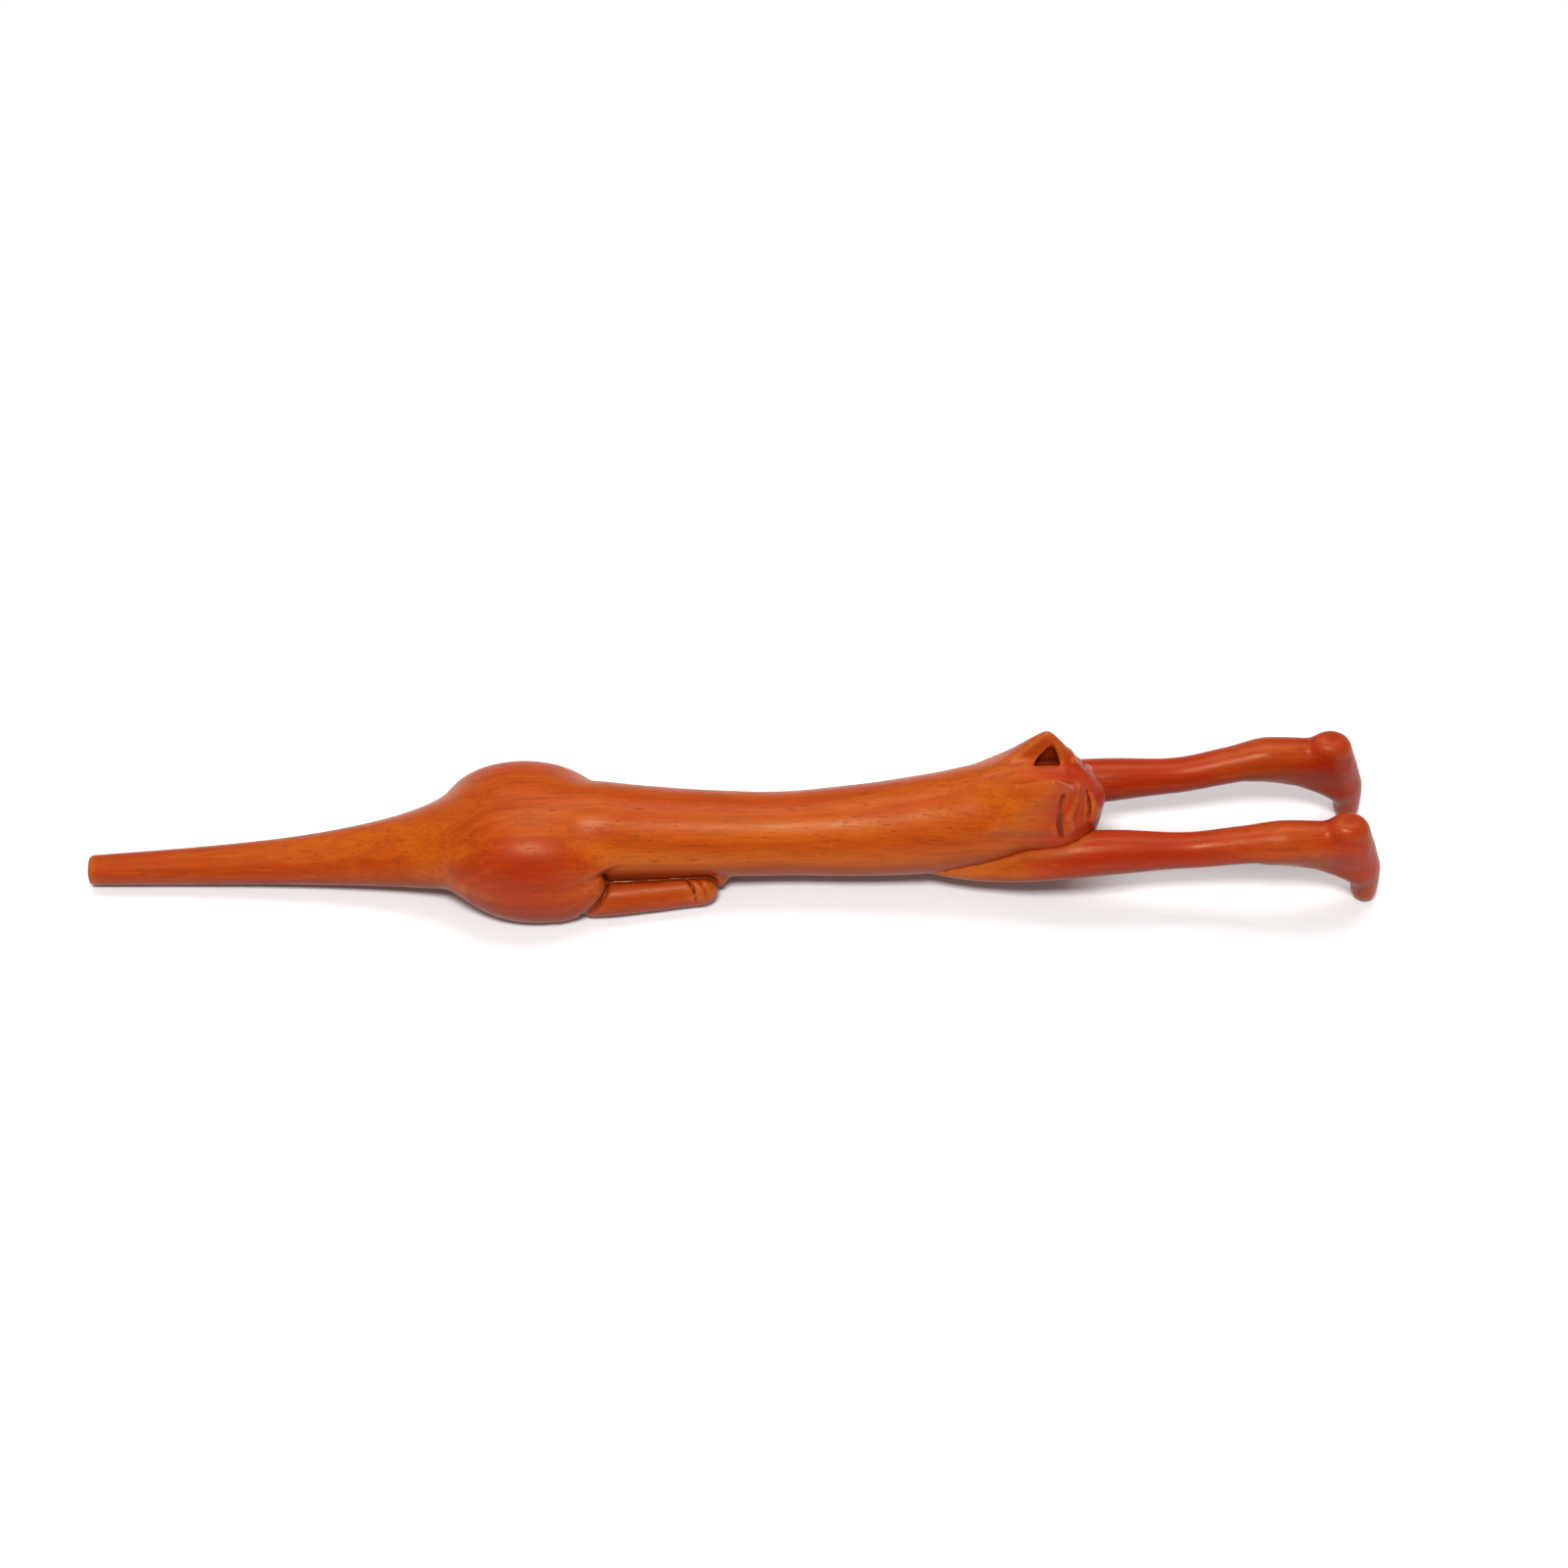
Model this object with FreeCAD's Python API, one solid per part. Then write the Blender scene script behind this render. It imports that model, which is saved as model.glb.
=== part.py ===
import FreeCAD, Part
import math
import os

# A wooden duct flute (ocarina) carved as a stretched-out cat lying on its belly.
# The tail is the mouthpiece, the torso holds the air chamber, and the voicing window and the
# tone holes are on the belly. Millimetres; +X runs from the tail to the forepaws, +Y is the
# cat's left, +Z is up, and the origin is under the middle of the object, on the surface it lies on.
# Stations along X are written as distances from the end of the tail and shifted at export.

Vector = FreeCAD.Vector
X_AXIS, Y_AXIS, Z_AXIS = Vector(1, 0, 0), Vector(0, 1, 0), Vector(0, 0, 1)

# ---- driving dimensions ----
TOTAL_LENGTH = 357.7
TAIL_JOINT_X = 99.0          # plane where the tail meets the rump

HAUNCH_X = {1: 120.5, -1: 124.3}   # hand carved, so the left one sits a little further back
THIGH_AHEAD = 3.4

# air chamber and voicing
CHAMBER_START_X, CHAMBER_END_X = 120.0, 238.0
CHAMBER_RADIUS = 7.0
CHAMBER_AXIS_Z = 13.7
POCKET_HALF_WIDTH = 6.0
BORE_RADIUS = 5.0            # bore in the rump for the tail's tenon and the fipple block
BORE_AXIS_Z = 10.0
TENON_LENGTH = 9.0
WINDWAY_HEIGHT = 1.2         # thickness of the air sheet under the block
TAIL_WINDWAY_RADIUS = 1.8
TAIL_WINDWAY_Z = (4.3, 8.0)  # height of the tail's windway at the tip and at the tenon's end

# belly plate
PLATE_TOP_Z = 6.0
PLATE_HALF_WIDTH = 8.2
PLATE_END_X = 244.0
WINDOW_LENGTH, WINDOW_WIDTH = 5.0, 7.0
LABIUM_EDGE = 0.5            # thickness left at the labium's edge
LABIUM_LENGTH = 9.0
TONE_HOLES = ((160.0, 2.5), (179.0, 3.0), (198.0, 2.75), (217.0, 3.5))   # distance, radius

# fasteners
PIN_RADIUS = 0.75
PIN_TOP_Z = 9.5
PIN_X, PIN_Y = (136.0, 188.0, 228.0), 7.1
DOWEL_RADIUS = 1.5
DOWEL_X = (254.0, 265.0)
DOWEL_Z = (12.6, 14.8)
DOWEL_INNER_Y, DOWEL_OUTER_Y = 4.0, 13.0

BLOCK_RAMP_LENGTH = 7.0      # lead-in under the fipple block, down to its flat
TENON_ROOT = 2.0             # how far the tenon's rod is sunk into the tail
OVERSHOOT = 1.0              # how far a cutter runs past what it cuts

SECTION_POINTS = 16
SPINE_SPACING = 8.0
LIMB_SPACING = 5.0
PAW_SPACING = 4.0
FAR = 500.0


# ---- construction helpers ----
def oval(centre, across, up, half_across, half_up):
    """A closed smooth oval in the plane of the two directions, always started at the same side."""
    points = []
    for i in range(SECTION_POINTS):
        angle = 2 * math.pi * i / SECTION_POINTS
        points.append(centre + across * (half_across * math.cos(angle)) + up * (half_up * math.sin(angle)))
    curve = Part.BSplineCurve()
    curve.interpolate(Points=points, PeriodicFlag=True)
    return Part.Wire([curve.toShape()])


def ellipsoid(centre, half_x, half_y, half_z, pitch=0.0):
    """An ellipsoid, turned nose-up by pitch degrees."""
    ball = Part.makeSphere(1.0)
    shape = FreeCAD.Matrix()
    shape.scale(half_x, half_y, half_z)
    shape.rotateY(math.radians(-pitch))
    shape.move(centre)
    return ball.transformGeometry(shape)


def slopes(keys, values):
    """Slopes of a curve through the values that is smooth and never overshoots them."""
    steps = [(b - a) / (k - j) for j, k, a, b in zip(keys, keys[1:], values, values[1:])]
    inner = [2 * a * b / (a + b) if a * b > 0 else 0.0 for a, b in zip(steps, steps[1:])]
    return [steps[0], *inner, steps[-1]]


def refined(keys, rows, spacing):
    """Rows at even keys, about spacing apart, on smooth curves through the given rows."""
    columns = list(zip(*rows))
    column_slopes = [slopes(keys, column) for column in columns]
    count = max(2, round((keys[-1] - keys[0]) / spacing))
    result = []
    for step in range(count + 1):
        key = keys[0] + (keys[-1] - keys[0]) * step / count
        i = max(0, min(len(keys) - 2, sum(k <= key for k in keys) - 1))
        width = keys[i + 1] - keys[i]
        t = (key - keys[i]) / width
        row = []
        for column, slope in zip(columns, column_slopes):
            start = (1 + 2 * t) * (1 - t) ** 2 * column[i] + t * (1 - t) ** 2 * width * slope[i]
            end = t * t * (3 - 2 * t) * column[i + 1] + t * t * (t - 1) * width * slope[i + 1]
            row.append(start + end)
        result.append(row)
    return result


def limb(stations):
    """A solid through ovals across a path. Each station is x, y, z, half width, half height."""
    keys = [0.0]
    for a, b in zip(stations, stations[1:]):
        keys.append(keys[-1] + math.dist(a[:3], b[:3]))
    stations = refined(keys, stations, LIMB_SPACING)
    centres = [Vector(*s[:3]) for s in stations]
    wires = []
    for i, (x, y, z, half_width, half_height) in enumerate(stations):
        along = centres[min(i + 1, len(centres) - 1)] - centres[max(i - 1, 0)]
        along.normalize()
        across = Z_AXIS.cross(along)
        across.normalize()
        wires.append(oval(centres[i], across, along.cross(across), half_width, half_height))
    return Part.makeLoft(wires, True, False)


def column(stations):
    """A solid through level ovals. Each station is x, y, z, half length, half width, from the bottom up."""
    stations = refined([s[2] for s in stations], stations, PAW_SPACING)
    wires = [oval(Vector(x, y, z), X_AXIS, Y_AXIS, length, width) for x, y, z, length, width in stations]
    return Part.makeLoft(wires, True, False)


def block(x0, x1, y0, y1, z0, z1):
    return Part.makeBox(x1 - x0, y1 - y0, z1 - z0, Vector(x0, y0, z0))


def rod(start, end, radius):
    return Part.makeCylinder(radius, (end - start).Length, start, end - start)


def wedge(profile, half_width):
    """A prism across Y from a closed profile of x, z corners."""
    corners = [Vector(x, -half_width, z) for x, z in profile]
    face = Part.Face(Part.makePolygon(corners + corners[:1]))
    return face.extrude(Vector(0, 2 * half_width, 0))


def mirrored(shape):
    return shape.mirror(Vector(0, 0, 0), Y_AXIS)


# ---- the carved outer form ----
def spine():
    """Tail, rump, torso and neck as one smooth form: distance, half width, half height, centre height."""
    rows = (
        (0.0, 4.2, 4.1, 4.3), (26.0, 5.2, 4.9, 5.1), (46.0, 6.2, 5.7, 6.0), (59.0, 7.1, 6.5, 6.8),
        (72.0, 8.4, 7.6, 8.0), (85.0, 10.2, 9.1, 9.7), (92.0, 11.6, 10.2, 11.1), (99.0, 13.2, 11.6, 12.9),
        (106.0, 14.3, 12.8, 14.8), (113.0, 14.8, 13.6, 16.0), (126.0, 14.6, 14.0, 16.9),
        (140.0, 13.8, 14.0, 16.9), (155.0, 12.8, 13.1, 15.8), (172.0, 12.0, 12.2, 14.7),
        (191.0, 11.6, 11.8, 13.9), (212.0, 12.5, 12.9, 14.5), (232.0, 13.4, 14.3, 16.6),
        (248.0, 13.9, 15.2, 20.0), (260.0, 13.4, 14.0, 23.6), (268.0, 11.0, 11.0, 24.0),
    )
    rows = refined([row[0] for row in rows], rows, SPINE_SPACING)
    return Part.makeLoft([oval(Vector(x, 0, z), Y_AXIS, Z_AXIS, w, h) for x, w, h, z in rows], True, False)


def haunch(side):
    """A haunch with the thigh's bulge, which reach just below the ground and get a flat to rest on."""
    x = HAUNCH_X[side]
    upper = ellipsoid(Vector(x, side * 14.0, 13.1), 20.0, 9.1, 13.6)
    thigh = ellipsoid(Vector(x + THIGH_AHEAD, side * 15.4, 8.6), 16.8, 7.3, 9.1)
    rump = ellipsoid(Vector(122.0, side * 6.5, 17.3), 20.0, 10.5, 12.8)
    return upper.fuse(thigh).fuse(rump)


def hind_foot():
    """The left hind foot, flat along the ground from the haunch to its rounded toes."""
    leg = limb((
        (134.0, 14.6, 5.0, 4.6, 4.8), (145.0, 14.2, 5.0, 5.0, 5.0), (156.0, 13.0, 4.8, 4.9, 4.8),
        (167.0, 12.0, 4.7, 4.4, 4.6), (172.0, 11.7, 4.7, 4.0, 4.2),
    ))
    toes = ellipsoid(Vector(171.5, 11.7, 4.8), 4.4, 4.4, 4.7)
    return leg.fuse(toes)


def ear():
    """One ear, its back in line with the neck and its hollow facing forward and inward."""
    body = limb((
        (247.0, 6.0, 29.0, 4.0, 4.0), (256.0, 7.4, 33.0, 5.0, 4.8), (262.0, 8.6, 37.5, 4.4, 4.2),
        (266.0, 9.6, 42.4, 2.2, 2.0), (267.0, 9.9, 44.1, 0.6, 0.6),
    ))
    hollow = limb((
        (273.0, 5.2, 33.5, 2.6, 3.2), (269.5, 7.6, 37.5, 2.2, 2.2), (267.6, 9.2, 41.5, 0.7, 0.7),
    ))
    root = ellipsoid(Vector(264.0, 8.2, 34.0), 5.6, 4.0, 5.0)
    return body.fuse(root), hollow


def head():
    """Round skull with a short raised muzzle, two ears with carved hollows, and slit eyes."""
    skull = ellipsoid(Vector(270.5, 0, 22.9), 12.6, 14.2, 13.6)
    muzzle = ellipsoid(Vector(277.5, 0, 25.0), 7.0, 7.2, 6.4, 20.0)
    shape = skull.fuse(muzzle)
    cuts = []
    for side in (1, -1):
        body, hollow = ear()
        if side < 0:
            body, hollow = mirrored(body), mirrored(hollow)
        shape = shape.fuse(body)
        eye = ellipsoid(Vector(278.2, side * 7.2, 32.0), 1.1, 2.6, 1.5, -30.0)
        cuts += [hollow, eye]
    for cut in cuts:
        shape = shape.cut(cut)
    return shape


def foreleg():
    """The left foreleg, from its long upper arm on the chest to the paw that hangs from the wrist."""
    arm = limb((
        (231.0, 9.4, 9.6, 1.2, 1.2), (240.0, 10.0, 10.4, 3.4, 3.4), (250.0, 10.8, 12.0, 5.0, 5.0),
        (262.0, 12.2, 14.8, 5.8, 5.8), (273.0, 12.8, 16.6, 5.8, 5.8), (284.0, 13.0, 17.7, 5.6, 5.8),
        (303.0, 13.4, 19.4, 4.9, 5.2), (317.0, 14.2, 22.1, 5.1, 5.4), (329.0, 15.0, 24.4, 5.7, 5.8),
        (337.0, 15.0, 24.0, 5.4, 6.0), (344.0, 14.8, 22.0, 4.9, 5.6), (350.0, 14.7, 20.0, 4.0, 4.0),
    ))
    paw = column((
        (353.9, 14.7, 0.0, 3.3, 3.6), (354.1, 14.7, 2.5, 3.6, 4.1), (353.6, 14.7, 7.0, 3.9, 4.4),
        (350.6, 14.7, 14.0, 6.1, 4.8), (347.8, 14.7, 21.0, 7.0, 5.2), (346.6, 14.7, 26.0, 6.4, 5.0),
        (346.0, 14.7, 31.0, 3.6, 3.2),
    ))
    return arm.fuse(paw)


def above_ground(shape):
    return shape.common(block(-FAR, FAR, -FAR, FAR, 0, FAR))


def outer_form():
    shape = spine()
    foot = hind_foot()
    for part in (haunch(1), haunch(-1), foot, mirrored(foot)):
        shape = shape.fuse(part)
    return above_ground(shape.fuse(head()))


# ---- the hollow inside ----
def chamber():
    """The air chamber: a round-ended bore, opened downwards by a pocket that the belly plate closes."""
    first, last = CHAMBER_START_X + CHAMBER_RADIUS, CHAMBER_END_X - CHAMBER_RADIUS
    shape = rod(Vector(first, 0, CHAMBER_AXIS_Z), Vector(last, 0, CHAMBER_AXIS_Z), CHAMBER_RADIUS)
    for x in (first, last):
        shape = shape.fuse(Part.makeSphere(CHAMBER_RADIUS, Vector(x, 0, CHAMBER_AXIS_Z)))
    pocket = block(CHAMBER_START_X, last, -POCKET_HALF_WIDTH, POCKET_HALF_WIDTH, PLATE_TOP_Z, CHAMBER_AXIS_Z)
    return shape.fuse(pocket)


def rump_bore():
    end = CHAMBER_START_X + OVERSHOOT
    return rod(Vector(TAIL_JOINT_X, 0, BORE_AXIS_Z), Vector(end, 0, BORE_AXIS_Z), BORE_RADIUS)


def plate_room():
    return block(CHAMBER_START_X, PLATE_END_X, -PLATE_HALF_WIDTH, PLATE_HALF_WIDTH, -OVERSHOOT, PLATE_TOP_Z)


def pins():
    return [
        rod(Vector(x, side * PIN_Y, -OVERSHOOT), Vector(x, side * PIN_Y, PIN_TOP_Z), PIN_RADIUS)
        for x in PIN_X for side in (1, -1)
    ]


def dowels():
    return [
        rod(Vector(x, side * DOWEL_INNER_Y, z), Vector(x, side * DOWEL_OUTER_Y, z), DOWEL_RADIUS)
        for x, z in zip(DOWEL_X, DOWEL_Z) for side in (1, -1)
    ]


# ---- the pieces ----
def body_shell(outer):
    shape = outer.cut(block(-FAR, TAIL_JOINT_X, -FAR, FAR, -FAR, FAR))
    for room in [chamber(), rump_bore(), plate_room(), *pins(), *dowels()]:
        shape = shape.cut(room)
    return shape


def belly_plate(outer):
    """The plate under the chamber, with the voicing window, the labium's ramp and the tone holes."""
    shape = outer.common(plate_room())
    window_end = CHAMBER_START_X + WINDOW_LENGTH
    half = WINDOW_WIDTH / 2
    shape = shape.cut(block(CHAMBER_START_X - OVERSHOOT, window_end, -half, half, -OVERSHOOT, FAR))
    edge_z = PLATE_TOP_Z - LABIUM_EDGE
    ramp = wedge((
        (window_end - OVERSHOOT, edge_z), (window_end, edge_z),
        (window_end + LABIUM_LENGTH, -OVERSHOOT), (window_end - OVERSHOOT, -OVERSHOOT),
    ), half)
    shape = shape.cut(ramp)
    for x, radius in TONE_HOLES:
        shape = shape.cut(rod(Vector(x, 0, -OVERSHOOT), Vector(x, 0, PLATE_TOP_Z + OVERSHOOT), radius))
    for pin in pins():
        shape = shape.cut(pin)
    return shape


def tail_mouthpiece(outer):
    """The tail, with a tenon that fits the rump's bore and a windway bored from end to end."""
    shape = outer.common(block(-FAR, TAIL_JOINT_X, -FAR, FAR, -FAR, FAR))
    root, end = TAIL_JOINT_X - TENON_ROOT, TAIL_JOINT_X + TENON_LENGTH
    shape = shape.fuse(rod(Vector(root, 0, BORE_AXIS_Z), Vector(end, 0, BORE_AXIS_Z), BORE_RADIUS))
    tip_z, end_z = TAIL_WINDWAY_Z
    rise = (end_z - tip_z) * OVERSHOOT / end
    mouth_end = Vector(-OVERSHOOT, 0, tip_z - rise)
    block_end = Vector(end + OVERSHOOT, 0, end_z + rise)
    return shape.cut(rod(mouth_end, block_end, TAIL_WINDWAY_RADIUS))


def fipple_block():
    """The round block behind the tenon, cut away below to leave the flat windway."""
    start, end = TAIL_JOINT_X + TENON_LENGTH, CHAMBER_START_X
    shape = rod(Vector(start, 0, BORE_AXIS_Z), Vector(end, 0, BORE_AXIS_Z), BORE_RADIUS)
    floor_z = BORE_AXIS_Z - BORE_RADIUS
    flat_z = floor_z + WINDWAY_HEIGHT
    ramp_top_z = TAIL_WINDWAY_Z[1] + TAIL_WINDWAY_RADIUS
    below, before, after = floor_z - OVERSHOOT, start - OVERSHOOT, end + OVERSHOOT
    under = wedge((
        (before, below), (after, below), (after, flat_z), (start + BLOCK_RAMP_LENGTH, flat_z),
        (start, ramp_top_z), (before, ramp_top_z),
    ), BORE_RADIUS + OVERSHOOT)
    return shape.cut(under)


def split_forelegs(outer):
    """The left and the right foreleg, each glued to the chest and held there by two dowels."""
    shape = above_ground(foreleg()).cut(outer)
    shape = max(shape.Solids, key=lambda solid: solid.Volume)
    legs = []
    for leg in (shape, mirrored(shape)):
        for dowel in dowels():
            leg = leg.cut(dowel)
        legs.append(leg)
    return legs


def trimmed_pins(outer):
    return Part.makeCompound([solid for pin in pins() for solid in pin.common(outer).Solids])


def export(name, shape):
    shape = shape.copy()
    shape.translate(Vector(-TOTAL_LENGTH / 2, 0, 0))
    shape.exportStep(os.path.join("parts", name + ".step"))
    box = shape.BoundBox
    print(
        f"{name}: valid {shape.isValid()}, solids {len(shape.Solids)}, volume {shape.Volume:.0f} mm3, "
        f"x {box.XMin:.2f} {box.XMax:.2f}, y {box.YMin:.2f} {box.YMax:.2f}, z {box.ZMin:.2f} {box.ZMax:.2f}"
    )


def main():
    os.makedirs("parts", exist_ok=True)
    outer = outer_form()
    left_foreleg, right_foreleg = split_forelegs(outer)
    export("body_shell", body_shell(outer))
    export("belly_plate", belly_plate(outer))
    export("tail_mouthpiece", tail_mouthpiece(outer))
    export("fipple_block", fipple_block())
    export("left_foreleg", left_foreleg)
    export("right_foreleg", right_foreleg)
    export("foreleg_dowels", Part.makeCompound(dowels()))
    export("belly_plate_pins", trimmed_pins(outer))


main()
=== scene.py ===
import math

import bmesh
import bpy
import numpy as np
import openvdb
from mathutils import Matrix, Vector


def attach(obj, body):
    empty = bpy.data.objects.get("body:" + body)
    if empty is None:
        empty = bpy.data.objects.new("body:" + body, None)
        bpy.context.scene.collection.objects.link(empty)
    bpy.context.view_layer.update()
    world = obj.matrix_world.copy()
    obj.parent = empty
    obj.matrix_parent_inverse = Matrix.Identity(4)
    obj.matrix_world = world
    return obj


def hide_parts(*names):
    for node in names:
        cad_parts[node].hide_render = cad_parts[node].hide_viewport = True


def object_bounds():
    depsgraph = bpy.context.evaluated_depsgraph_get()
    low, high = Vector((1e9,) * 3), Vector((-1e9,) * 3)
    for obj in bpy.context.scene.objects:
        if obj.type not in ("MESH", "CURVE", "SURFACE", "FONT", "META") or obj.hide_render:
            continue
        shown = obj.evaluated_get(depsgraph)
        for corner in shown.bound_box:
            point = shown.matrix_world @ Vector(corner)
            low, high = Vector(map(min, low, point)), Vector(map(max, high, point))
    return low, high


# A stained wooden duct flute carved as a stretched-out cat. The outer wood is sculpted as a field
# of signed distances, meshed, and cut into the pieces that the real one is glued up from.
# The sculpting is in millimetres, and X in it is the distance from the end of the tail.

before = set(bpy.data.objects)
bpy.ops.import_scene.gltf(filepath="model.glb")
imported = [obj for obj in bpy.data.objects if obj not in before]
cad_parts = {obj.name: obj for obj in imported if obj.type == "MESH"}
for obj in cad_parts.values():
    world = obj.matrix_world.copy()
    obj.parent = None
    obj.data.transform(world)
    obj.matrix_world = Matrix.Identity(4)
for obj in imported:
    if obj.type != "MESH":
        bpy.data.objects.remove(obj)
CAD_LOW, CAD_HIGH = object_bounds()
MM = 0.001
TAIL_END = Vector((CAD_LOW.x / MM, 0, 0))

VOXEL = 0.42
FAR_FROM_WOOD = 12.0     # the field's value where nothing is near
FAR = 500.0              # past the end of the object, for cutters
GROUND_Z = 0.0
SIDES = (1, -1)          # the cat's left, which is +Y, and its right

# joints between the pieces, as in the CAD model
TAIL_JOINT_X = 99.0
CHAMBER_X = (120.0, 238.0)
CHAMBER_RADIUS, CHAMBER_Z, POCKET_HALF_WIDTH = 7.0, 13.7, 6.0
BORE_RADIUS, BORE_Z, TENON_LENGTH = 5.0, 10.0, 9.0
PLATE_TOP_Z, PLATE_HALF_WIDTH, PLATE_END_X = 6.0, 8.2, 244.0
PLATE_GAP = 0.08
WINDOW_LENGTH, WINDOW_HALF_WIDTH = 5.0, 3.5
LABIUM_EDGE, LABIUM_LENGTH = 0.5, 9.0
TONE_HOLES = ((160.0, 2.5), (179.0, 3.0), (198.0, 2.75), (217.0, 3.5))
TAIL_WINDWAY_RADIUS, TAIL_WINDWAY_Z = 1.8, (4.3, 8.0)
LEG_GAP = 0.10

# carved lines, as the radius of the groove along the line where two surfaces meet
HAUNCH_LINE = 0.5
FOOT_LINE = 0.4
LEG_LINE = 0.5
GROOVE_BLEND = 0.5
WINDOW_MARGIN = 3.0


# ---- fields of distance ----
def smooth_curve(keys, values, at):
    """Values on a smooth curve through the given ones that never overshoots them."""
    keys, values = np.array(keys, float), np.array(values, float)
    steps = np.diff(values) / np.diff(keys)
    before, after = steps[:-1], steps[1:]
    total = np.where(before * after > 0, before + after, 1.0)
    inner = np.where(before * after > 0, 2 * before * after / total, 0.0)
    slopes = np.concatenate([steps[:1], inner, steps[-1:]])
    at = np.clip(at, keys[0], keys[-1])
    i = np.clip(np.searchsorted(keys, at, side="right") - 1, 0, len(keys) - 2)
    width = keys[i + 1] - keys[i]
    t = (at - keys[i]) / width
    start = (1 + 2 * t) * (1 - t) ** 2 * values[i] + t * (1 - t) ** 2 * width * slopes[i]
    end = t * t * (3 - 2 * t) * values[i + 1] + t * t * (t - 1) * width * slopes[i + 1]
    return (start + end).astype(np.float32)


def smooth_min(a, b, blend):
    """The smaller of the two, rounded off where they differ by less than blend."""
    overlap = np.maximum(blend - np.abs(a - b), 0) / blend
    return np.minimum(a, b) - overlap * overlap * blend / 4


def smooth_max(a, b, blend):
    return -smooth_min(-a, -b, blend)


def smooth_step(value, start, end):
    """0 up to start, 1 from end on, and smooth between them."""
    t = np.clip((value - start) / (end - start), 0, 1)
    return t * t * (3 - 2 * t)


def ellipse_distance(u, v, half_u, half_v):
    """Roughly the distance to an ellipse, or to a round tube through it."""
    ring = np.sqrt((u / half_u) ** 2 + (v / half_v) ** 2)
    slope = np.sqrt((u / half_u ** 2) ** 2 + (v / half_v ** 2) ** 2)
    return ring * (ring - 1) / np.maximum(slope, 1e-4)


class Form:
    """A distance function of x, y and z, and the box it lies in."""

    def __init__(self, low, high, distance):
        self.low, self.high, self.distance = np.array(low, float), np.array(high, float), distance


def along_x(rows, end_blend=1.5):
    """A form through upright ovals. Each row is x, y, z, half width, half height."""
    keys = [row[0] for row in rows]
    columns = list(zip(*rows))[1:]

    def distance(x, y, z):
        centre_y, centre_z, half_width, half_height = [smooth_curve(keys, column, x) for column in columns]
        side = ellipse_distance(y - centre_y, z - centre_z, half_width, half_height)
        ends = np.maximum(keys[0] - x, x - keys[-1])
        return smooth_max(side, ends, end_blend)

    low = [keys[0], min(r[1] - r[3] for r in rows), min(r[2] - r[4] for r in rows)]
    high = [keys[-1], max(r[1] + r[3] for r in rows), max(r[2] + r[4] for r in rows)]
    return Form(low, high, distance)


def along_z(rows, end_blend=1.5):
    """A form through level ovals. Each row is z, x, y, half length, half width."""
    keys = [row[0] for row in rows]
    columns = list(zip(*rows))[1:]

    def distance(x, y, z):
        centre_x, centre_y, half_length, half_width = [smooth_curve(keys, column, z) for column in columns]
        side = ellipse_distance(x - centre_x, y - centre_y, half_length, half_width)
        ends = np.maximum(keys[0] - z, z - keys[-1])
        return smooth_max(side, ends, end_blend)

    low = [min(r[1] - r[3] for r in rows), min(r[2] - r[4] for r in rows), keys[0]]
    high = [max(r[1] + r[3] for r in rows), max(r[2] + r[4] for r in rows), keys[-1]]
    return Form(low, high, distance)


def ellipsoid(centre, halves, pitch=0.0):
    """An ellipsoid, turned nose-up by pitch degrees."""
    cos, sin = math.cos(math.radians(pitch)), math.sin(math.radians(pitch))

    def distance(x, y, z):
        dx, dy, dz = x - centre[0], y - centre[1], z - centre[2]
        along, up = dx * cos + dz * sin, dz * cos - dx * sin
        a, b, c = along / halves[0], dy / halves[1], up / halves[2]
        ring = np.sqrt(a * a + b * b + c * c)
        slope = np.sqrt((a / halves[0]) ** 2 + (b / halves[1]) ** 2 + (c / halves[2]) ** 2)
        return ring * (ring - 1) / np.maximum(slope, 1e-4)

    reach = max(halves)
    return Form(np.array(centre) - reach, np.array(centre) + reach, distance)


def rod(*points):
    """A rounded rod through points of x, y, z, radius."""
    points = np.array(points, float)

    def distance(x, y, z):
        nearest = None
        for start, end in zip(points, points[1:]):
            run = end[:3] - start[:3]
            offset = (x - start[0], y - start[1], z - start[2])
            t = sum(o * r for o, r in zip(offset, run)) / run.dot(run)
            t = np.clip(t, 0, 1)
            apart = np.sqrt(sum((o - t * r) ** 2 for o, r in zip(offset, run)))
            apart = apart - (start[3] + t * (end[3] - start[3]))
            nearest = apart if nearest is None else np.minimum(nearest, apart)
        return nearest

    reach = points[:, 3].max()
    return Form(points[:, :3].min(0) - reach, points[:, :3].max(0) + reach, distance)


def faceted(low, high, blend, *facets):
    """A form inside flat facets, each a point on it and its outward direction, with rounded edges."""
    def distance(x, y, z):
        result = None
        for point, outward in facets:
            outward = np.array(outward, float) / np.linalg.norm(outward)
            apart = (x - point[0]) * outward[0] + (y - point[1]) * outward[1] + (z - point[2]) * outward[2]
            result = apart if result is None else smooth_max(result, apart, blend)
        return result

    return Form(low, high, distance)


def mirrored(form, side):
    """The form itself on side 1, and its mirror image on side -1."""
    low, high = form.low.copy(), form.high.copy()
    if side < 0:
        low[1], high[1] = -form.high[1], -form.low[1]
    return Form(low, high, lambda x, y, z: form.distance(x, y * side, z))


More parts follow.
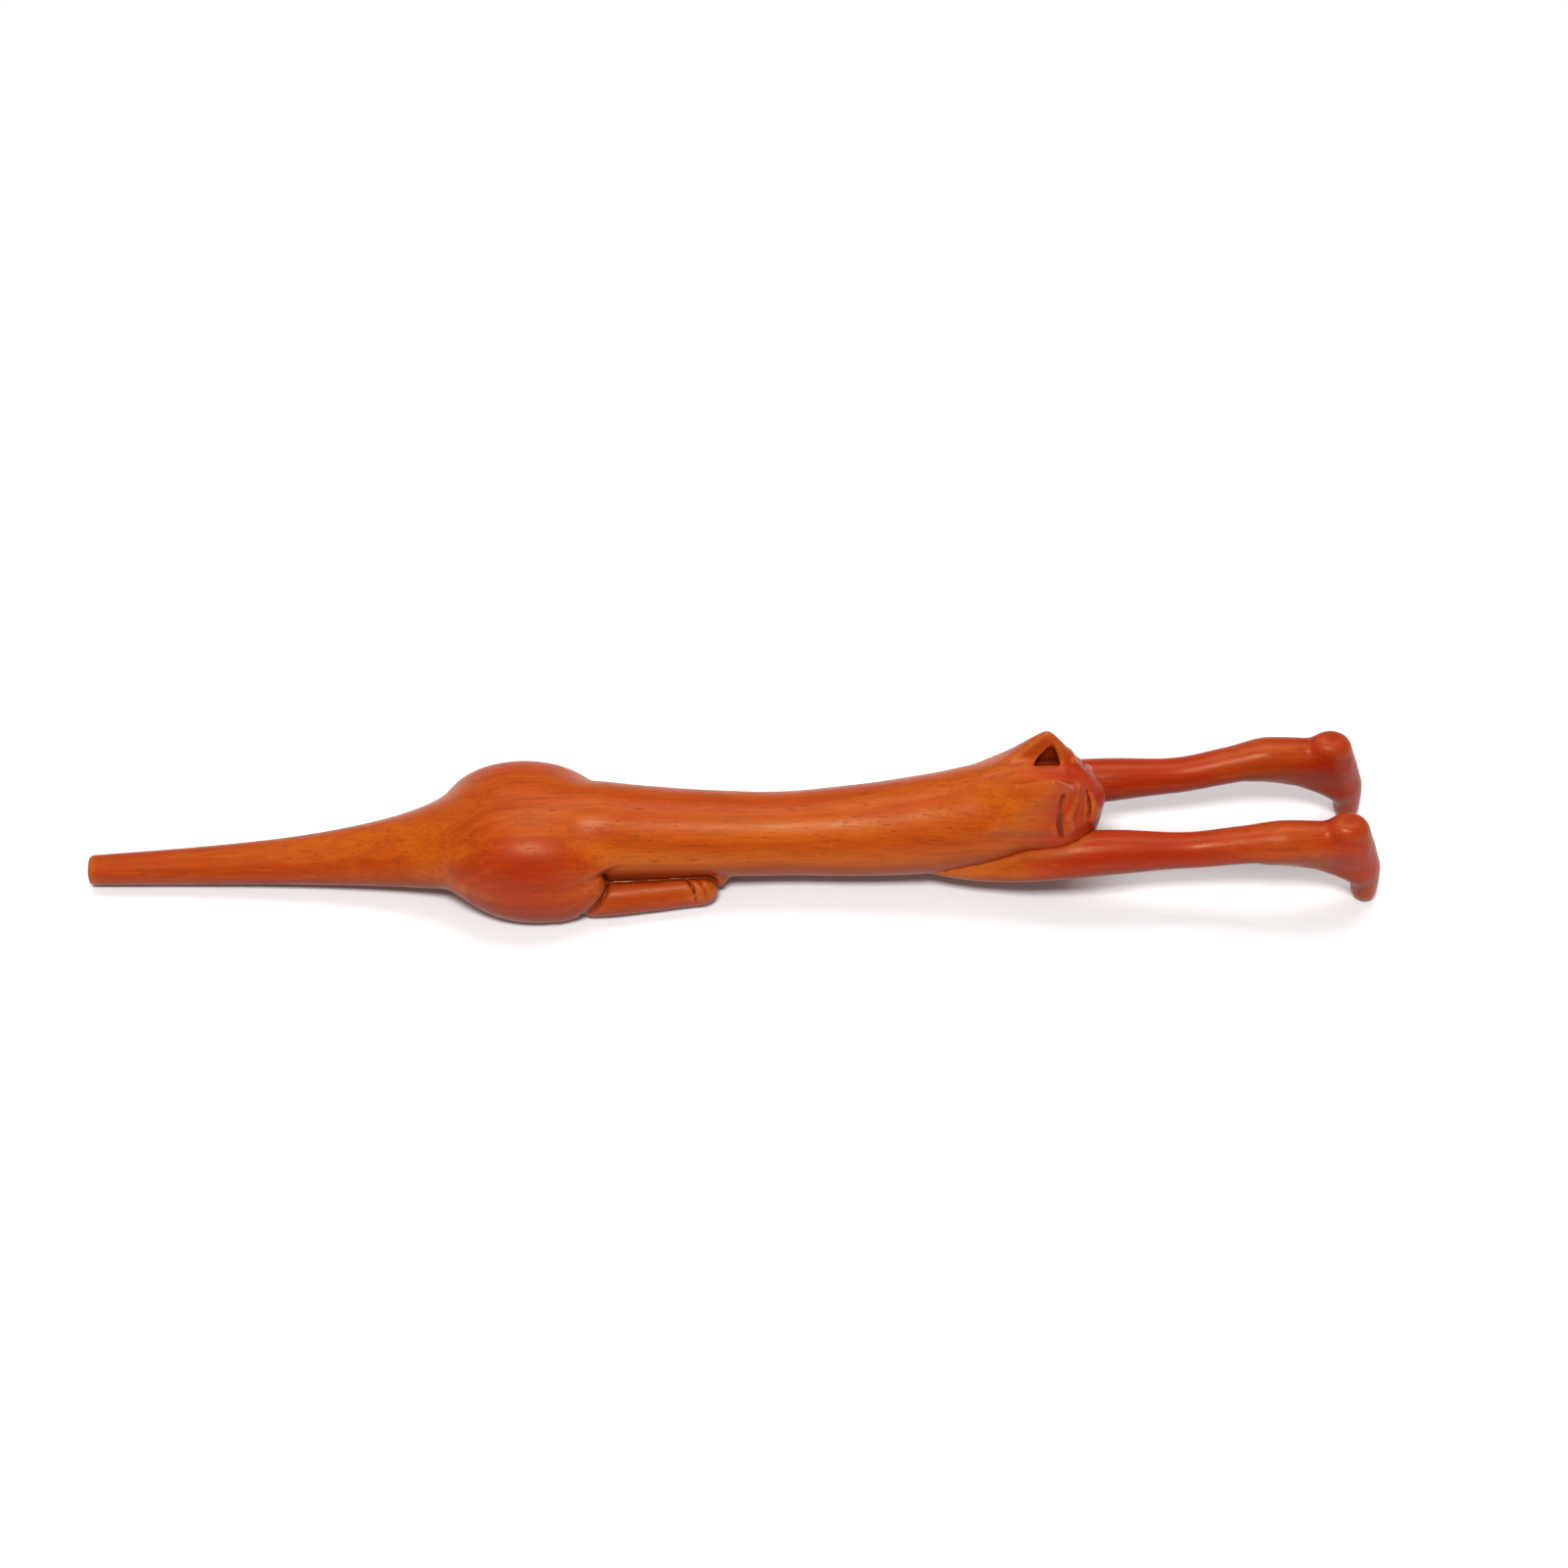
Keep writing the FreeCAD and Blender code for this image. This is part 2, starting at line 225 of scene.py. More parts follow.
class Clay:
    """A grid of signed distances, negative inside the wood."""

    def __init__(self, low, high):
        self.low = np.array(low, float)
        counts = np.ceil((np.array(high) - self.low) / VOXEL).astype(int) + 1
        self.axes = [np.float32(self.low[i]) + np.arange(counts[i], dtype=np.float32) * np.float32(VOXEL)
                     for i in range(3)]
        self.field = np.full(counts, FAR_FROM_WOOD, np.float32)

    def window(self, low, high, margin):
        """The slices of the grid around a box, and its x, y and z there."""
        slices, axes = [], []
        for i, axis in enumerate(self.axes):
            start = np.searchsorted(axis, low[i] - margin)
            end = np.searchsorted(axis, high[i] + margin)
            slices.append(slice(start, end))
            shape = [1, 1, 1]
            shape[i] = end - start
            axes.append(axis[start:end].reshape(shape))
        return tuple(slices), axes

    def add(self, form, blend):
        slices, (x, y, z) = self.window(form.low, form.high, blend + WINDOW_MARGIN)
        self.field[slices] = smooth_min(self.field[slices], form.distance(x, y, z), blend)

    def carve(self, form, blend):
        slices, (x, y, z) = self.window(form.low, form.high, blend + WINDOW_MARGIN)
        self.field[slices] = smooth_max(self.field[slices], -form.distance(x, y, z), blend)


def softened(field, passes):
    """The field after some small blurs along each axis."""
    for _ in range(passes):
        for axis in range(3):
            before = np.roll(field, 1, axis)
            after = np.roll(field, -1, axis)
            field = field * 0.5 + (before + after) * 0.25
    return field


# ---- the carved form ----
# TORSO, FOOT and ARM are rows for along_x, PAW is rows for along_z, and the rods are x, y, z, radius.
TORSO = (
    (0.0, 0.0, 4.3, 4.2, 4.1), (26.0, 0.0, 5.1, 5.2, 4.9), (46.0, 0.0, 6.0, 6.2, 5.7),
    (59.0, 0.0, 6.8, 7.1, 6.5), (72.0, 0.0, 8.0, 8.4, 7.6), (85.0, 0.0, 9.7, 10.2, 9.1),
    (92.0, 0.0, 11.1, 11.6, 10.2),
    (99.0, 0.0, 12.9, 13.2, 11.6), (106.0, 0.0, 14.8, 14.3, 12.8), (113.0, 0.0, 16.0, 14.8, 13.6),
    (126.0, 0.0, 16.9, 14.6, 14.0), (140.0, 0.0, 16.9, 13.8, 14.0), (155.0, 0.0, 15.8, 12.8, 13.1),
    (172.0, 0.0, 14.7, 12.0, 12.2), (191.0, 0.0, 13.9, 11.6, 11.8), (212.0, 0.0, 14.5, 12.5, 12.9),
    (232.0, 0.0, 16.6, 13.4, 14.3), (248.0, 0.0, 20.0, 13.9, 15.2), (260.0, 0.0, 23.6, 13.4, 14.0),
    (268.0, 0.0, 24.0, 11.0, 11.0),
)
HAUNCH_X, HAUNCH_Y = {1: 120.5, -1: 123.2}, {1: 14.0, -1: 12.9}   # hand carved, so the sides differ
HAUNCH_Z, HAUNCH_HALVES = 13.1, (20.0, 8.8, 13.6)
THIGH_AHEAD, THIGH_OUT, THIGH_Z, THIGH_HALVES = 4.2, 1.9, 8.0, (16.4, 6.4, 8.5)
THIGH_BLEND = 5.0
RUMP_CENTRE, RUMP_HALVES = (122.0, 6.5, 17.3), (20.0, 10.5, 12.8)
WEB = ((140.0, 9.6, 6.8, 4.6), (158.0, 8.8, 6.4, 4.6), (174.0, 8.0, 6.2, 3.6))
FOOT = (
    (134.0, 14.6, 5.0, 4.6, 5.0), (145.0, 14.2, 5.0, 5.0, 5.2), (156.0, 13.0, 4.8, 4.9, 5.1),
    (167.0, 12.0, 4.7, 4.4, 4.8), (175.0, 11.7, 4.8, 4.0, 4.3),
)
ARM = (
    (229.0, 9.2, 9.2, 0.8, 0.8), (240.0, 10.0, 10.4, 3.4, 3.4), (250.0, 10.8, 12.0, 5.0, 5.0),
    (262.0, 12.2, 15.2, 6.0, 6.2), (273.0, 12.7, 17.6, 6.4, 6.8), (284.0, 12.9, 18.6, 5.9, 6.5),
    (303.0, 13.4, 19.4, 4.9, 5.2), (317.0, 14.2, 22.1, 5.1, 5.4), (329.0, 15.0, 24.4, 5.7, 5.8),
    (337.0, 15.0, 24.2, 5.4, 5.8), (344.0, 14.8, 23.6, 5.0, 5.4), (350.0, 14.7, 22.0, 4.0, 4.0),
)
PAW = (
    (0.0, 353.9, 14.7, 3.3, 3.6), (2.5, 354.1, 14.7, 3.6, 4.1), (7.0, 353.6, 14.7, 3.9, 4.4),
    (14.0, 350.4, 14.7, 6.1, 4.8), (21.0, 347.6, 14.7, 6.7, 5.2), (26.5, 346.2, 14.7, 6.0, 5.1),
    (32.2, 345.4, 14.7, 4.9, 4.3),
)
PALM = ((326.0, 14.8, 21.0, 3.4), (339.0, 14.8, 18.0, 4.1), (350.5, 14.7, 12.6, 4.4))
TOE_GAPS_X, TOE_GAPS_Y = (166.5, 169.6, 172.6), (12.9, 16.5)   # across the hind foot, and down the paw
SKULL_CENTRE, SKULL_HALVES = (267.8, 0, 22.6), (12.4, 14.2, 14.2)
MUZZLE_CENTRE, MUZZLE_HALVES, MUZZLE_PITCH = (273.4, 0, 26.8), (6.6, 7.2, 6.6), 25.0
NOSE_CENTRE, NOSE_HALVES, NOSE_PITCH = (279.0, 0, 28.6), (1.8, 2.4, 1.6), 10.0
EAR_FRONT = (
    (267.8, 9.6, 39.4, 0.4), (267.3, 11.8, 34.8, 0.7), (267.3, 12.6, 30.5, 0.7), (268.0, 13.2, 27.0, 0.4),
)
BROW = (
    (272.4, 4.5, 37.0, 0.6), (271.0, 8.5, 36.0, 1.0), (269.9, 11.4, 33.0, 1.0), (270.6, 11.9, 28.5, 0.7),
)
EYE = ((275.2, 4.2, 34.2, 0.5), (275.6, 6.8, 32.6, 1.1), (275.4, 9.2, 30.2, 0.6))
LID = ((276.6, 4.4, 32.6, 0.4), (277.3, 6.8, 30.6, 0.9), (276.8, 9.2, 28.4, 0.4))
MOUTH = ((281.0, 0.0, 24.6, 0.5), (280.2, 3.0, 23.8, 0.6), (278.2, 6.0, 22.8, 0.4))


def haunch(side):
    """The rounded haunch and the thigh's bulge low in front of it."""
    centre_x, centre_y = HAUNCH_X[side], HAUNCH_Y[side]
    upper = ellipsoid((centre_x, centre_y, HAUNCH_Z), HAUNCH_HALVES)
    lower = ellipsoid((centre_x + THIGH_AHEAD, centre_y + THIGH_OUT, THIGH_Z), THIGH_HALVES)

    def distance(x, y, z):
        return smooth_min(upper.distance(x, y, z), lower.distance(x, y, z), THIGH_BLEND)

    return mirrored(Form(upper.low, upper.high, distance), side)


def add_haunches(clay):
    """The haunches flow into the rump above and behind, and stand off the belly and foot in front."""
    wide_blend, narrow_blend = 7.0, 0.7
    no_line = -2.0
    for side in SIDES:
        clay.add(mirrored(ellipsoid(RUMP_CENTRE, RUMP_HALVES), side), blend=4.0)
    for side in SIDES:
        form = haunch(side)
        slices, (x, y, z) = clay.window(form.low, form.high, wide_blend + WINDOW_MARGIN)
        front = smooth_step(x, 128.0, 138.0) * (1 - smooth_step(z, 14.0, 19.0))
        blend = wide_blend + (narrow_blend - wide_blend) * front
        bulge = form.distance(x, y, z)
        rest = clay.field[slices]
        line = HAUNCH_LINE * front + no_line * (1 - front)
        groove = np.sqrt(bulge ** 2 + rest ** 2) - line
        clay.field[slices] = smooth_max(smooth_min(rest, bulge, blend), -groove, 0.6)


def add_feet(clay):
    """The hind feet lie along the belly, with a cut line where the two meet."""
    for side in SIDES:
        clay.add(mirrored(rod(*WEB), side), blend=2.0)
        form = mirrored(along_x(FOOT, end_blend=5.0), side)
        slices, places = clay.window(form.low, form.high, WINDOW_MARGIN + 1.0)
        foot = form.distance(*places)
        belly = clay.field[slices]
        groove = np.sqrt(foot ** 2 + belly ** 2) - FOOT_LINE
        clay.field[slices] = smooth_max(smooth_min(belly, foot, 0.4), -groove, GROOVE_BLEND)
        for x in TOE_GAPS_X:
            toe_gap = rod((x - 1.5, 10.5, 9.6, 0.2), (x + 1.5, 14.3, 8.6, 0.4), (x + 2.2, 16.4, 4.0, 0.2))
            clay.carve(mirrored(toe_gap, side), GROOVE_BLEND)


def ear():
    """A broad upright wedge: its back in line with the neck, its front sloping down to the brow."""
    return faceted(
        (246, 1, 28), (280, 15, 47), 2.0,
        ((266.5, 10.0, 44.9), (0.0, 0.987, 0.159)),
        ((266.5, 8.5, 45.4), (0.0, -0.87, 0.49)),
        ((264.6, 9.8, 46.1), (-0.53, 0.0, 0.848)),
        ((265.4, 10.2, 45.4), (-0.62, 0.44, 0.65)),
        ((265.5, 9.5, 46.1), (0.80, 0.0, 0.60)),
        ((267.6, 12.4, 33.0), (0.46, 0.85, 0.25)),
        ((266.5, 9.5, 29.0), (0.0, 0.0, -1.0)),
    )


def ear_hollow():
    """The hollow on the ear's inner face: a three-sided scoop that ends flat on the crown."""
    return faceted(
        (254, -2, 32), (278, 11, 46), 0.7,
        ((266.6, 6.6, 42.0), (0.0, 1.0, 0.0)),
        ((260.4, 4.0, 36.4), (-0.66, 0.0, 0.75)),
        ((268.6, 4.0, 36.4), (0.93, 0.0, 0.37)),
        ((266.0, 3.6, 36.4), (0.0, -0.70, -0.71)),
    )


def add_face(clay, side):
    """The ear's hollow and front edge, the brow, the eye with its lower lid, and the mouth."""
    clay.carve(mirrored(ear_hollow(), side), blend=0.7)
    clay.carve(mirrored(rod(*EAR_FRONT), side), blend=0.9)
    clay.add(mirrored(rod(*BROW), side), blend=1.4)
    clay.carve(mirrored(rod(*EYE), side), blend=0.5)
    clay.add(mirrored(rod(*LID), side), blend=1.2)
    clay.carve(mirrored(rod(*MOUTH), side), blend=0.7)


def add_head(clay):
    clay.add(ellipsoid(SKULL_CENTRE, SKULL_HALVES), blend=3.0)
    clay.add(ellipsoid(MUZZLE_CENTRE, MUZZLE_HALVES, MUZZLE_PITCH), blend=4.0)
    for side in SIDES:
        clay.add(mirrored(ear(), side), blend=3.2)
    for side in SIDES:
        add_face(clay, side)
    clay.add(ellipsoid(NOSE_CENTRE, NOSE_HALVES, NOSE_PITCH), blend=1.4)


def sculpt_body():
    """Everything but the forelegs, in one grid that reaches a little past the wood."""
    clay = Clay((-4, -27, -3), (290, 27, 49))
    clay.add(along_x(TORSO, end_blend=1.0), blend=0.5)
    add_feet(clay)
    add_haunches(clay)
    add_head(clay)
    return clay


def sculpt_foreleg():
    """The left foreleg, before it is fitted to the body."""
    leg = Clay((225, 2, -3), (362, 27, 36))
    leg.add(along_x(ARM, end_blend=3.0), blend=0.5)
    leg.add(rod(*PALM), blend=4.0)
    leg.add(along_z(PAW, end_blend=3.4), blend=3.0)
    for y in TOE_GAPS_Y:
        leg.carve(rod((356.9, y, 8.0, 0.3), (357.9, y, 4.0, 0.5), (357.4, y, -0.5, 0.5)), GROOVE_BLEND)
    return leg


def seam_between(body, leg):
    """Cuts a groove into the body along the line where each leg's surface meets it, and fits the
    left leg to the body with a gap. The leg's grid is laid over the body's as slices of it."""
    low = np.array([axis[0] for axis in leg.axes])
    starts = np.round((low - body.low) / VOXEL).astype(int)
    counts = np.array(leg.field.shape)
    for side in SIDES:
        if side > 0:
            rows = slice(starts[1], starts[1] + counts[1])
        else:
            middle = round(-body.low[1] / VOXEL)
            last = 2 * middle - starts[1]
            rows = slice(last, last - counts[1], -1)
        ends = [min(starts[i] + counts[i], body.field.shape[i]) for i in (0, 2)]
        part = body.field[starts[0]:ends[0], rows, starts[2]:ends[1]]
        near = leg.field[:part.shape[0], :part.shape[1], :part.shape[2]]
        groove = np.sqrt(part ** 2 + near ** 2) - LEG_LINE
        part[...] = smooth_max(part, -groove, GROOVE_BLEND)
        if side > 0:
            near[...] = smooth_max(near, LEG_GAP - part, GROOVE_BLEND)


# ---- meshes ----
def mesh_from_clay(name, clay, side=1):
    """The clay's surface as a mesh in metres, in the frame's place."""
    grid = openvdb.FloatGrid(FAR_FROM_WOOD)
    grid.copyFromArray(clay.field)
    grid.transform = openvdb.createLinearTransform(VOXEL)
    points, quads = grid.convertToQuads(0.0)
    points = (points + clay.low + np.array(TAIL_END)) * MM
    points[:, 1] *= side
    quads = quads if side > 0 else quads[:, ::-1]
    mesh = bpy.data.meshes.new(name)
    mesh.vertices.add(len(points))
    mesh.vertices.foreach_set("co", points.astype(np.float32).ravel())
    mesh.loops.add(quads.size)
    mesh.loops.foreach_set("vertex_index", quads.astype(np.int32).ravel())
    mesh.polygons.add(len(quads))
    mesh.polygons.foreach_set("loop_start", np.arange(0, quads.size, 4, dtype=np.int32))
    mesh.update(calc_edges=True)
    mesh.validate()
    obj = bpy.data.objects.new(name, mesh)
    bpy.context.scene.collection.objects.link(obj)
    return obj


def in_frame(point):
    """A point in metres, in the frame's place, from one in millimetres from the tail's end."""
    return (Vector(point) + TAIL_END) * MM


def cutter_from(name, build):
    """A hidden object whose mesh is made by a function that fills a bmesh."""
    shape = bmesh.new()
    build(shape)
    mesh = bpy.data.meshes.new(name)
    bmesh.ops.recalc_face_normals(shape, faces=shape.faces)
    shape.to_mesh(mesh)
    shape.free()
    obj = bpy.data.objects.new(name, mesh)
    bpy.context.scene.collection.objects.link(obj)
    return obj


def prism(name, profile, half_width):
    """A prism across Y from x, z corners."""
    def build(shape):
        near = [shape.verts.new(in_frame((x, -half_width, z))) for x, z in profile]
        far = [shape.verts.new(in_frame((x, half_width, z))) for x, z in profile]
        shape.faces.new(near)
        shape.faces.new(far[::-1])
        for i in range(len(profile)):
            j = (i + 1) % len(profile)
            shape.faces.new((near[i], far[i], far[j], near[j]))
    return cutter_from(name, build)


def slab(name, x0, x1, half_width, z0, z1):
    """A box, the same distance to both sides of the middle."""
    return prism(name, ((x0, z0), (x1, z0), (x1, z1), (x0, z1)), half_width)


def lathe(name, start, end, stations, count=48):
    """A round form about the line from start to end. Each station is a share of the way, and a radius."""
    start, end = Vector(start), Vector(end)
    along = (end - start).normalized()
    across = along.orthogonal().normalized()
    up = along.cross(across)

    def build(shape):
        rings = []
        for share, radius in stations:
            centre = start.lerp(end, share)
            ring = []
            for i in range(count):
                turn = 2 * math.pi * i / count
                offset = across * math.cos(turn) + up * math.sin(turn)
                ring.append(shape.verts.new(in_frame(centre + offset * radius)))
            rings.append(ring)
        shape.faces.new(rings[0][::-1])
        shape.faces.new(rings[-1])
        for a, b in zip(rings, rings[1:]):
            for i in range(count):
                j = (i + 1) % count
                shape.faces.new((a[i], a[j], b[j], b[i]))
    return cutter_from(name, build)


def cylinder(name, start, end, radius, count=48):
    return lathe(name, start, end, ((0, radius), (1, radius)), count)


def capsule(name, start_x, end_x, z, radius):
    """A round-ended bore along X."""
    length = end_x - start_x
    steps = 12           # rings in each rounded end
    stations = []
    for i in range(1, steps + 1):
        turn = math.pi / 2 * i / steps
        stations.append(((radius - radius * math.cos(turn)) / length, radius * math.sin(turn)))
    stations += [(1 - share, r) for share, r in reversed(stations)]
    return lathe(name, (start_x, 0, z), (end_x, 0, z), stations)


def cut(piece, tool, operation="DIFFERENCE"):
    """Applies a boolean with the tool, and removes the tool."""
    modifier = piece.modifiers.new("cut", "BOOLEAN")
    modifier.operation = operation
    modifier.object = tool
    modifier.solver = "MANIFOLD"
    depsgraph = bpy.context.evaluated_depsgraph_get()
    mesh = bpy.data.meshes.new_from_object(piece.evaluated_get(depsgraph))
    piece.modifiers.clear()
    piece.data = mesh
    bpy.data.objects.remove(tool)


def copy_of(obj, name):
    copy = bpy.data.objects.new(name, obj.data.copy())
    bpy.context.scene.collection.objects.link(copy)
    return copy


def cut_body_shell(piece):
    """Takes off the tail, and makes room for the plate, the chamber and the tail's tenon."""
    cut(piece, slab("behind_joint", -FAR, TAIL_JOINT_X, FAR, -FAR, FAR))
    cut(piece, slab("plate_room", CHAMBER_X[0], PLATE_END_X, PLATE_HALF_WIDTH, -FAR, PLATE_TOP_Z))
    cut(piece, capsule("chamber", *CHAMBER_X, CHAMBER_Z, CHAMBER_RADIUS))
    pocket_end = CHAMBER_X[1] - CHAMBER_RADIUS
    cut(piece, slab("pocket", CHAMBER_X[0], pocket_end, POCKET_HALF_WIDTH, PLATE_TOP_Z - 1, CHAMBER_Z))
    cut(piece, cylinder("bore", (TAIL_JOINT_X - 1, 0, BORE_Z), (CHAMBER_X[0] + 1, 0, BORE_Z), BORE_RADIUS))


def cut_belly_plate(piece):
    """Leaves only the plate, with the voicing window, its ramped edge and the tone holes."""
    plate_end, half_width = PLATE_END_X - PLATE_GAP, PLATE_HALF_WIDTH - PLATE_GAP
    cut(piece, slab("plate", CHAMBER_X[0], plate_end, half_width, -FAR, PLATE_TOP_Z), "INTERSECT")
    window_end = CHAMBER_X[0] + WINDOW_LENGTH
    cut(piece, slab("window", CHAMBER_X[0] - 1, window_end, WINDOW_HALF_WIDTH, -FAR, FAR))
    edge_z = PLATE_TOP_Z - LABIUM_EDGE
    ramp_start, ramp_end = window_end - 1, window_end + LABIUM_LENGTH
    ramp = ((ramp_start, edge_z), (window_end, edge_z), (ramp_end, -1), (ramp_start, -1))
    cut(piece, prism("ramp", ramp, WINDOW_HALF_WIDTH))
    for x, radius in TONE_HOLES:
        flared = ((0, radius + 2.6), (0.32, radius + 0.5), (0.36, radius + 0.15))
        stations = (*flared, (0.42, radius), (1, radius))
        cut(piece, lathe("tone_hole", (x, 0, GROUND_Z), (x, 0, PLATE_TOP_Z + 2), stations))


def cut_tail(piece):
    """Leaves only the tail, and gives it its tenon and the windway through both."""
    cut(piece, slab("before_joint", TAIL_JOINT_X, FAR, FAR, -FAR, FAR))
    tenon_end = TAIL_JOINT_X + TENON_LENGTH
    stations = ((0, BORE_RADIUS), (0.95, BORE_RADIUS), (1, BORE_RADIUS - 0.5))
    cut(piece, lathe("tenon", (TAIL_JOINT_X - 2, 0, BORE_Z), (tenon_end, 0, BORE_Z), stations), "UNION")
    tip_z, end_z = TAIL_WINDWAY_Z
    rise = (end_z - tip_z) / tenon_end
    stations = ((0, TAIL_WINDWAY_RADIUS + 1.2), (0.0125, TAIL_WINDWAY_RADIUS), (1, TAIL_WINDWAY_RADIUS))
    windway = lathe("windway", (-1, 0, tip_z - rise), (tenon_end + 1, 0, end_z + rise), stations)
    cut(piece, windway)


# ---- colour ----
def vertex_places(piece):
    """The places of a mesh's vertices, in millimetres from the tail's end."""
    at = np.empty(len(piece.data.vertices) * 3, np.float32)
    piece.data.vertices.foreach_get("co", at)
    return at.reshape(-1, 3) / MM - np.array(TAIL_END)


def paint(piece, name, values):
    attribute = piece.data.attributes.new(name, "FLOAT", "POINT")
    attribute.data.foreach_set("value", np.asarray(values, np.float32))


def sampled(clay, field, at):
    """The field's values at points, between grid points."""
    at = (at - clay.low) / VOXEL
    at = np.clip(at, 0, np.array(field.shape) - 1.001)
    base = at.astype(int)
    part = at - base
    total = np.zeros(len(at))
    for corner in range(8):
        step = np.array([corner >> 2 & 1, corner >> 1 & 1, corner & 1])
        weight = np.prod(np.where(step, part, 1 - part), axis=1)
        i, j, k = (base + step).T
        total += weight * field[i, j, k]
    return total


def hollowness(clay):
    """How far each place lies in a hollow, from the curvature of the field around it."""
    reach = 1.0
    passes = max(2, round((reach / VOXEL) ** 2 * 2))
    return clay.field - softened(clay.field, passes)


def redness(at):
    """Where the stain is redder: the tail's tip, haunches, head and paws; and redder towards the ground."""
    x, y, z = at.T
    tail = 1 - smooth_step(x, 6.0, 60.0)
    haunch = np.exp(-((x - 122) / 18) ** 2) * smooth_step(np.abs(y), 4.0, 18.0)
    head = smooth_step(x, 254.0, 270.0) * (1 - smooth_step(x, 300.0, 330.0) * 0.75)
    paws = smooth_step(x, 330.0, 348.0)
    # redder towards the ground
    below = 1 - smooth_step(z, 3.0, 16.0)
    shares = (0.6 * tail, 0.75 * haunch, head, 0.95 * paws, 0.55 * below)
    return np.clip(np.maximum.reduce(shares), 0, 1)


def underside(piece):
    """How far each point of the surface faces down, where painted shade darkens the colour."""
    normals = np.empty(len(piece.data.vertices) * 3, np.float32)
    piece.data.vertices.foreach_get("normal", normals)
    return 1 - smooth_step(normals.reshape(-1, 3)[:, 2], -0.55, 0.55)


def paint_wood(piece, clay, hollow):
    """The attributes that the material reads: the redness, and where painted shade falls on the underside
    and in hollows. The leg's grid holds the left leg, for both legs.
    """
    at = vertex_places(piece)
    in_grid = at.copy()
    if clay.low[1] > 0:
        in_grid[:, 1] = np.abs(in_grid[:, 1])
    paint(piece, "redness", redness(at))
    paint(piece, "underside", underside(piece))
    paint(piece, "hollow", sampled(clay, hollow, in_grid))


# ---- materials ----
ORANGE_DARK, ORANGE_LIGHT = (0.38, 0.044, 0.002, 1), (0.47, 0.088, 0.003, 1)
RED_DARK, RED_LIGHT = (0.33, 0.015, 0.002, 1), (0.40, 0.026, 0.003, 1)
STREAK_DARK, STREAK_LIGHT = (0.20, 0.030, 0.004, 1), (0.56, 0.15, 0.015, 1)
FINE_DARK, PORE_DARK = (0.22, 0.035, 0.005, 1), (0.10, 0.018, 0.004, 1)
# the first colour here is painted shade for surfaces that face down; the second darkens hollows and carved
# lines, as stain that pools there and as painted shade
PAINTED_UNDERSIDE_SHADE, POOLED_STAIN_AND_SHADE = (0.16, 0.016, 0.003, 1), (0.12, 0.012, 0.003, 1)
WORN_EDGE = (0.54, 0.15, 0.025, 1)
HIGHLIGHT_TINT = (1.0, 0.78, 0.48, 1)
PLAIN_WOOD = (0.56, 0.37, 0.20, 1), (0.40, 0.24, 0.12, 1)
BAMBOO = (0.60, 0.45, 0.22, 1), (0.42, 0.29, 0.12, 1)


class Nodes:
    """Short calls for building a material's node tree."""

    def __init__(self, name):
        self.material = bpy.data.materials.new(name)
        self.material.use_nodes = True
        self.tree = self.material.node_tree
        self.shader = self.tree.nodes["Principled BSDF"]

    def add(self, kind, **settings):
        node = self.tree.nodes.new(kind)
        for key, value in settings.items():
            setattr(node, key, value)
        return node

    def feed(self, socket, value):
        """Links an output to the socket, or sets the socket to a constant."""
        if isinstance(value, bpy.types.NodeSocket):
            self.tree.links.new(value, socket)
        else:
            socket.default_value = value

    def places(self, scale):
        """The object's own coordinates, stretched by a scale for each axis."""
        coordinates = self.add("ShaderNodeTexCoord")
        mapping = self.add("ShaderNodeMapping")
        self.feed(mapping.inputs["Vector"], coordinates.outputs["Object"])
        mapping.inputs["Scale"].default_value = scale
        return mapping.outputs["Vector"]

    def noise(self, vector, scale, detail=2.0, roughness=0.5, distortion=0.0):
        node = self.add("ShaderNodeTexNoise")
        self.feed(node.inputs["Vector"], vector)
        node.inputs["Scale"].default_value = scale
        node.inputs["Detail"].default_value = detail
        node.inputs["Roughness"].default_value = roughness
        node.inputs["Distortion"].default_value = distortion
        return node.outputs["Fac"]

    def raise_bumps(self, height, strength, depth):
        bump = self.add("ShaderNodeBump")
        bump.inputs["Strength"].default_value = strength
        bump.inputs["Distance"].default_value = depth
        self.feed(bump.inputs["Height"], height)
        self.feed(self.shader.inputs["Normal"], bump.outputs["Normal"])

    def stretch(self, value, low, high, new_low=0.0, new_high=1.0):
        """The value from low to high, brought to new_low to new_high and held there beyond."""
        node = self.add("ShaderNodeMapRange")
        self.feed(node.inputs["Value"], value)
        node.inputs["From Min"].default_value = low
        node.inputs["From Max"].default_value = high
        node.inputs["To Min"].default_value = new_low
        node.inputs["To Max"].default_value = new_high
        return node.outputs["Result"]

    def maths(self, operation, a, b=0.0):
        node = self.add("ShaderNodeMath", operation=operation)
        self.feed(node.inputs[0], a)
        self.feed(node.inputs[1], b)
        return node.outputs[0]

    def mix(self, share, a, b):
        """From colour a to colour b. The colour sockets of a Mix node are numbers 6, 7 and 2."""
        node = self.add("ShaderNodeMix", data_type="RGBA")
        self.feed(node.inputs["Factor"], share)
        self.feed(node.inputs[6], a)
        self.feed(node.inputs[7], b)
        return node.outputs[2]

    def attribute(self, name):
        return self.add("ShaderNodeAttribute", attribute_name=name).outputs["Fac"]


def grain(nodes):
    """Streaks, pores and slow bands that run along the wood, each from 0 to 1."""
    streak_places = nodes.places((22.0, 420.0, 420.0))
    streaks = nodes.noise(streak_places, 2.2, 5.0, 0.62, 0.3)
    fine_places = nodes.places((60.0, 1700.0, 1700.0))
    fine = nodes.noise(fine_places, 1.0, 3.0, 0.6)
    pore_places = nodes.places((260.0, 2400.0, 2400.0))
    pores = nodes.noise(pore_places, 1.0, 1.0, 0.5)
    band_places = nodes.places((5.0, 60.0, 60.0))
    bands = nodes.noise(band_places, 1.6, 2.0, 0.5, 0.8)
    return streaks, fine, pores, bands


